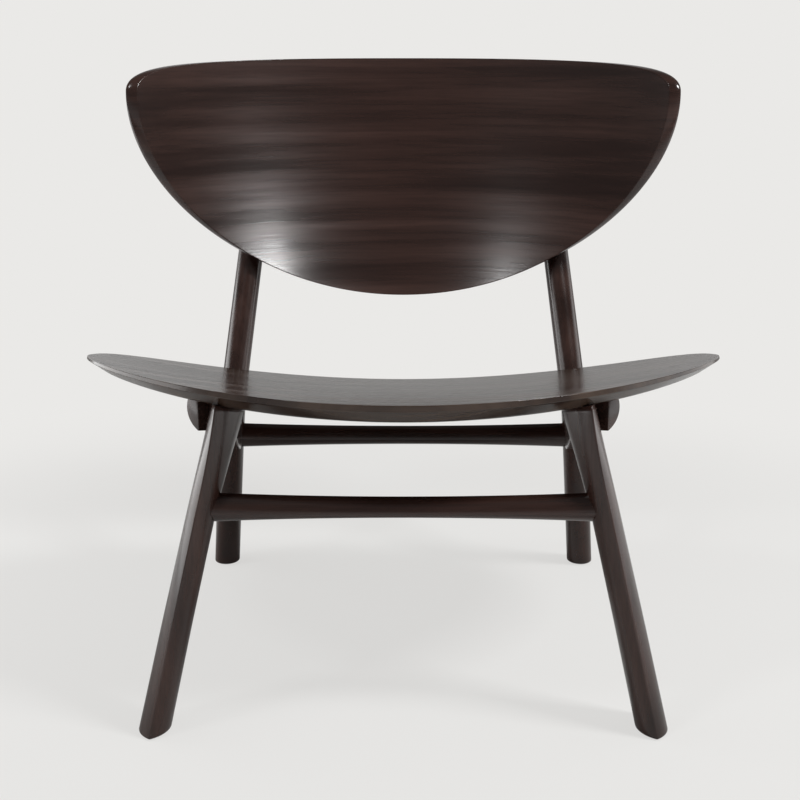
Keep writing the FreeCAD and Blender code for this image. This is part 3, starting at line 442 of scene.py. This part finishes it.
# width and depth of the oval
FOOT_OVAL, BEND_OVAL, TOP_OVAL = (0.0354, 0.042), (0.0348, 0.043), (0.033, 0.0336)
BEND_HEIGHT, UPRIGHT_TOP, BEND_SOFTNESS = 0.262, 0.606, 0.018
REAR_HEIGHTS = (
    [FOOT_HEIGHT, 0.006] + even(12, 0.02, 0.20) + even(22, 0.206, 0.33) + even(14, 0.345, 0.6)
    + [UPRIGHT_TOP]
)
OVAL_POINTS = 64
REAR_FOOT_SANDED, UPRIGHT_END_ROUND = 0.0015, 0.004


def rear_spot(height, turn):
    """Point on the rear leg's skin; turn is the angle round the oval."""
    rise = height - BEND_HEIGHT
    bow = math.hypot(rise, BEND_SOFTNESS)
    centre = []
    for foot, bend, top in zip(REAR_FOOT, REAR_BEND, REAR_TOP):
        low = (bend - foot) / BEND_HEIGHT
        high = (top - bend) / (UPRIGHT_TOP - BEND_HEIGHT)
        centre.append(bend + (high + low) / 2 * rise + (high - low) / 2 * bow)
    if rise < 0:
        share, end_oval = -rise / BEND_HEIGHT, FOOT_OVAL
    else:
        share, end_oval = rise / (UPRIGHT_TOP - BEND_HEIGHT), TOP_OVAL
    width, depth = (bend + (end - bend) * share for bend, end in zip(BEND_OVAL, end_oval))
    return Vector((
        centre[1] + width / 2 * math.cos(turn),
        centre[0] - SEAT_FRONT + depth / 2 * math.sin(turn),
        height,
    ))


turns = [2 * math.pi * step / OVAL_POINTS for step in range(OVAL_POINTS)]
right_rings = [[rear_spot(height, turn) for turn in turns] for height in REAR_HEIGHTS]
for side, rings in (("right", right_rings), ("left", mirrored(right_rings))):
    mesh, loops = skin(rings)
    round_edges(mesh, loop_edges(mesh, loops[0]), REAR_FOOT_SANDED)
    round_edges(mesh, loop_edges(mesh, loops[-1]), UPRIGHT_END_ROUND, segments=4)
    finish_piece("bent_rear_leg_" + side, mesh, wood_upright, "rear_leg_" + side)


# Side bearers: stained wood with the grain front to back, boat-shaped in section, from a
# prow-shaped nose that laps over the front leg's head back to the rear leg. They are dowelled
# to both legs, and the seat is bolted down on them.

BEARER_LEVELS = [
    # setback, inner side, outer side, bottom, share of the width that the hull leans in
    (0.090, 0.182, 0.2278, 0.3308, 0.23),
    (0.150, 0.1872, 0.2319, 0.3145, 0.295),
    (0.270, 0.198, 0.238, 0.2664, 0.38),
    (0.492, 0.219, 0.242, 0.2185, 0.38),
]
BEARER_START, BEARER_END, NOSE_SETBACK, NOSE_INNER = 0.080, 0.486, 0.090, 0.1845
HULL_BULGE, FLAT_POINTS, HULL_POINTS, BEARER_RINGS = 0.006, 9, 15, 34
PROW_LINE, PROW_ANGLES = 0.2173, (35, -25)
CRISP_ANGLE, BEARER_SANDED = 0.35, 0.0010


def smooth_between(levels, value):
    """Row of values on a smooth curve through the levels."""
    row = []
    for column in range(len(levels[0])):
        total = 0.0
        for level in levels:
            part = level[column]
            for other in levels:
                if other is not level:
                    part *= (value - other[0]) / (level[0] - other[0])
            total += part
        row.append(total)
    return row


def bearer_section(setback):
    """Points round the section: along the bottom, up the hull, back over the top, down inside."""
    _, inner, outer, bottom, lean_share = smooth_between(BEARER_LEVELS, setback)
    inner = max(inner, NOSE_INNER)
    y = setback - SEAT_FRONT
    width = outer - inner
    low = Vector((outer - width * lean_share, 0, bottom))
    high = Vector((outer, 0, seat_under_above(Vector((outer, y, bottom)))))
    chord = high - low
    radius = arc_radius(chord.length / 2, HULL_BULGE)
    out = Vector((chord.z, 0, -chord.x)).normalized()
    centre = (low + high) / 2 + out * (HULL_BULGE - radius)
    spots = [Vector((inner + (low.x - inner) * share, y, bottom)) for share in even(FLAT_POINTS)]
    start = math.atan2(low.z - centre.z, low.x - centre.x)
    end = math.atan2(high.z - centre.z, high.x - centre.x)
    for share in even(HULL_POINTS)[1:]:
        angle = start + (end - start) * share
        spots.append(Vector((
            centre.x + radius * math.cos(angle), y, centre.z + radius * math.sin(angle)
        )))
    for share in even(FLAT_POINTS)[1:]:
        x = outer + (inner - outer) * share
        spots.append(Vector((x, y, seat_under_above(Vector((x, y, bottom))))))
    top = spots[-1].z
    for share in even(FLAT_POINTS)[1:-1]:
        spots.append(Vector((inner, y, top + (bottom - top) * share)))
    return spots


def cut_off(mesh, place, normal):
    """Cuts away what lies beyond a plane and closes the cut with one flat face."""
    everything = mesh.verts[:] + mesh.edges[:] + mesh.faces[:]
    cut = bmesh.ops.bisect_plane(
        mesh, geom=everything, plane_co=place, plane_no=normal, clear_outer=True
    )["geom_cut"]
    rim = [edge for edge in cut if isinstance(edge, bmesh.types.BMEdge)]
    bmesh.ops.edgeloop_fill(mesh, edges=rim)


def crisp_edges(mesh):
    return [
        edge for edge in mesh.edges if edge.is_manifold and edge.calc_face_angle() > CRISP_ANGLE
    ]


wood_lengthwise = stained_wood("stained wood, grain front to back", (1.0, 0.05, 1.0))
right_rings = [bearer_section(setback) for setback in even(BEARER_RINGS, BEARER_START, BEARER_END)]
for side, flip, rings in (("right", 1, right_rings), ("left", -1, mirrored(right_rings))):
    mesh, loops = skin(rings)
    prow = Vector((flip * PROW_LINE, NOSE_SETBACK - SEAT_FRONT, 0))
    for angle in PROW_ANGLES:
        turn = math.radians(angle)
        cut_off(mesh, prow, Vector((flip * math.sin(turn), -math.cos(turn), 0)))
    bmesh.ops.recalc_face_normals(mesh, faces=mesh.faces)
    round_edges(mesh, crisp_edges(mesh), BEARER_SANDED)
    finish_piece("shaped_side_bearer_" + side, mesh, wood_lengthwise, "side_bearer_" + side)


# Rails: two cross rails of the stained wood between the legs, soft diamonds in section and
# slimmer in the middle. Round tenons on their ends sit in the legs.

RAILS = [
    # name, half length, setback, height, thickness, depth at the ends, depth at the waist
    ("front_rail", 0.210, 0.0735, 0.2512, 0.027, 0.0332, 0.0237),
    ("rear_rail", 0.230, 0.5015, 0.2120, 0.025, 0.0345, 0.026),
]
CORNER_DROP, SIDE_CURVE, SIDE_POINTS, RAIL_RINGS, RAIL_SANDED = 0.0035, 0.6, 8, 45, 0.0008


def rail_rings(half_length, setback, height, thickness, end_depth, waist_depth):
    rings = []
    for share in even(RAIL_RINGS, -1.0, 1.0):
        place = Vector((half_length * share, setback - SEAT_FRONT, height))
        depth = waist_depth + (end_depth - waist_depth) * share ** 2
        radius = SIDE_CURVE * math.hypot(thickness, depth)
        corners = [
            Vector((0, thickness / 2, -CORNER_DROP)), Vector((0, 0, depth / 2)),
            Vector((0, -thickness / 2, -CORNER_DROP)), Vector((0, 0, -depth / 2)),
        ]
        ring = []
        for start, end in zip(corners, corners[1:] + corners[:1]):
            chord = end - start
            rise = radius - math.sqrt(radius ** 2 - chord.length ** 2 / 4)
            out = Vector((0, chord.z, -chord.y)).normalized()
            centre = (start + end) / 2 + out * (rise - radius)
            for part in even(SIDE_POINTS + 1)[:-1]:
                spot = start + chord * part - centre
                ring.append(centre + spot.normalized() * radius + place)
        rings.append(ring)
    return rings


wood_across = stained_wood("stained wood, grain across", (0.05, 1.0, 1.0))
for name, *sizes in RAILS:
    mesh, loops = skin(rail_rings(*sizes))
    sharp = []
    for corner in range(4):
        sharp += line_edges(mesh, loops, corner * SIDE_POINTS)
    round_edges(mesh, sharp, RAIL_SANDED, segments=2)
    finish_piece("shaped_" + name, mesh, wood_across, name)


# Small parts that stay as they are: zinc plated bolts and washers, brass threaded inserts, pale
# dowels, stained plugs over the back's bolts, and the plastic glides nailed under the feet.

def plain_material(name, dark, light, metallic, roughness, scale):
    material, tree = new_material(name)
    coordinates = add_node(tree, "TexCoord", {}).outputs["Object"]
    mottle = grain_noise(tree, coordinates, (1, 1, 1), scale, 3.0)
    wire(tree, tree.nodes["Principled BSDF"], {
        "Base Color": two_tones(tree, mottle, dark, light),
        "Metallic": metallic,
        "Roughness": roughness,
    })
    return material


steel = plain_material(
    "zinc plated steel", (0.42, 0.42, 0.42), (0.58, 0.58, 0.57), 1.0, 0.35, 300
)
brass = plain_material("brass", (0.52, 0.36, 0.14), (0.66, 0.48, 0.2), 1.0, 0.35, 300)
pale_wood = plain_material("dowel wood", (0.3, 0.18, 0.09), (0.42, 0.28, 0.15), 0.0, 0.6, 150)
glide_plastic = plain_material(
    "glide plastic", (0.008, 0.008, 0.008), (0.014, 0.013, 0.013), 0.0, 0.5, 400
)
for material, *names in (
    (steel, "seat_bolts", "seat_washers", "back_bolts", "back_washers"),
    (brass, "seat_inserts", "back_inserts"),
    (pale_wood, "front_joint_dowels", "rear_joint_dowels"),
    (wood_upright, "back_plugs"),
    (glide_plastic, "foot_glides"),
):
    for name in names:
        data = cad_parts[name].data
        data.materials.clear()
        data.materials.append(material)


# Floor: a large sheet of matt white paint. Away from the chair it turns into the pale of the
# background, so no horizon shows.
# Near the chair its colour is darker, a painted shade under the chair, so it sends less light up
# under the seat and looks darker in reflections.

BACKGROUND = (0.823, 0.815, 0.799, 1)
# The near colour is a painted shade. Light and reflections see the floor darker near the chair,
# while the camera always sees the far paint.
NEAR_PAINTED_SHADE, FAR_PAINT = (0.5, 0.5, 0.49, 1), (0.8, 0.8, 0.79, 1)
PAINTED_SHADE_START, PAINTED_SHADE_END = 0.35, 0.9
FADE_START, FADE_END, FADE_LOW = 0.6, 1.3, 0.8
GLOW_GAIN, GLOW_BASE = 0.2, 0.8
FLOOR_SIZE = 30.0


def combined(tree, operation, *values):
    return add_node(tree, "Math", dict(enumerate(values)), operation=operation).outputs["Value"]


def blended(tree, share, first, second):
    return add_node(tree, "MixShader", {"Fac": share, 1: first, 2: second}).outputs["Shader"]


mesh = bmesh.new()
bmesh.ops.create_grid(mesh, x_segments=1, y_segments=1, size=FLOOR_SIZE)
data = bpy.data.meshes.new("floor")
mesh.to_mesh(data)
mesh.free()
floor = bpy.data.objects.new("floor", data)
bpy.context.collection.objects.link(floor)
material, tree = new_material("floor paint")
seen = add_node(tree, "LightPath", {}).outputs["Is Camera Ray"]
spot = add_node(tree, "TexCoord", {}).outputs["Object"]
distance = add_node(tree, "VectorMath", {0: spot}, operation="LENGTH").outputs["Value"]
fade = ramp(tree, distance, FADE_START, FADE_END, FADE_LOW, 1.0, "SMOOTHSTEP")
# Mixes in the painted shade: the colour darkens towards the chair, except for camera rays.
paint = add_node(tree, "Mix", {
    "Factor": combined(tree, "MAXIMUM", seen, ramp(tree, distance, PAINTED_SHADE_START, PAINTED_SHADE_END)),
    6: NEAR_PAINTED_SHADE, 7: FAR_PAINT,
}, data_type="RGBA")
shader = tree.nodes["Principled BSDF"]
wire(tree, shader, {
    "Base Color": paint.outputs[2], "Roughness": 1.0, "Specular IOR Level": 0.0,
})
glow = add_node(tree, "Emission", {
    "Color": BACKGROUND,
    "Strength": combined(tree, "MULTIPLY_ADD", fade, GLOW_GAIN, GLOW_BASE),
})
shown = combined(tree, "MULTIPLY", seen, fade)
wire(tree, tree.nodes["Material Output"], {
    "Surface": blended(tree, shown, shader.outputs["BSDF"], glow.outputs["Emission"]),
})
data.materials.append(material)


# Studio light: pale surroundings that are bright at the horizon behind the chair and a little
# brighter low down in front. Two soft lamps hang high at the front, the right one stronger, and
# a low soft panel stands on each side.

SKY, HORIZON, LESS_RIGHT = 0.2, 0.95, 0.72
LOW_ALL_ROUND, LOW_AHEAD = 0.2, 0.6

world = bpy.data.worlds.new("studio")
bpy.context.scene.world = world
world.use_nodes = True
tree = world.node_tree
around = add_node(tree, "TexCoord", {}).outputs["Generated"]
side, depth, height = add_node(tree, "SeparateXYZ", {"Vector": around}).outputs
behind = combined(tree, "MULTIPLY", ramp(tree, height, 0.75, 0.3), ramp(tree, depth, 0.0, 0.6))
bright = combined(tree, "MULTIPLY", behind, ramp(tree, side, -0.08, 0.14, 1.0, LESS_RIGHT))
sky = combined(tree, "MULTIPLY_ADD", bright, HORIZON, SKY)
ahead = ramp(tree, depth, -0.35, -0.85, LOW_ALL_ROUND, LOW_AHEAD)
low = combined(tree, "MULTIPLY", ramp(tree, height, 0.3, 0.12), ahead)
lit = add_node(tree, "Background", {"Strength": combined(tree, "ADD", sky, low)})
pale = add_node(tree, "Background", {"Color": BACKGROUND})
seen = add_node(tree, "LightPath", {}).outputs["Is Camera Ray"]
wire(tree, tree.nodes["World Output"], {
    "Surface": blended(tree, seen, lit.outputs["Background"], pale.outputs["Background"]),
})


def soft_lamp(name, place, target, width, height, power):
    lamp = bpy.data.lights.new(name, "AREA")
    lamp.shape = "RECTANGLE"
    lamp.size, lamp.size_y = width, height
    lamp.energy = power
    holder = bpy.data.objects.new(name, lamp)
    bpy.context.collection.objects.link(holder)
    holder.location = place
    aim = Vector(target) - Vector(place)
    holder.rotation_euler = aim.to_track_quat("-Z", "Y").to_euler()


# name, place, target, width, height, power
soft_lamp("left lamp", (-1.24, -1.16, 2.55), (0, 0, 0.4), 0.4, 0.4, 15)
soft_lamp("right lamp", (1.60, -0.95, 2.50), (0, 0, 0.4), 0.6, 0.6, 62)
soft_lamp("left panel", (-1.35, 0.15, 0.36), (0, 0.15, 0.36), 1.5, 0.62, 10)
soft_lamp("right panel", (1.35, 0.15, 0.36), (0, 0.15, 0.36), 1.5, 0.62, 4)


# Camera: it stands in front of the chair, a little over it, and looks down. The long lens and
# a small sideways shift put the chair where the photograph has it.

PHOTO_WIDTH = 800
CAMERA_PLACE, CAMERA_PITCH = (0, -1.6768, 0.7246), 14.10
FOCAL_LENGTH, SENSOR_WIDTH, SHIFT = 63.0, 36.0, -3.3 / PHOTO_WIDTH

camera = bpy.data.cameras.new("camera")
camera.lens = FOCAL_LENGTH
camera.sensor_width = SENSOR_WIDTH
camera.shift_x = SHIFT
viewer = bpy.data.objects.new("camera", camera)
bpy.context.collection.objects.link(viewer)
viewer.location = CAMERA_PLACE
viewer.rotation_euler = (math.radians(90 - CAMERA_PITCH), 0, 0)
bpy.context.scene.camera = viewer
bpy.context.scene.view_settings.view_transform = "Standard"
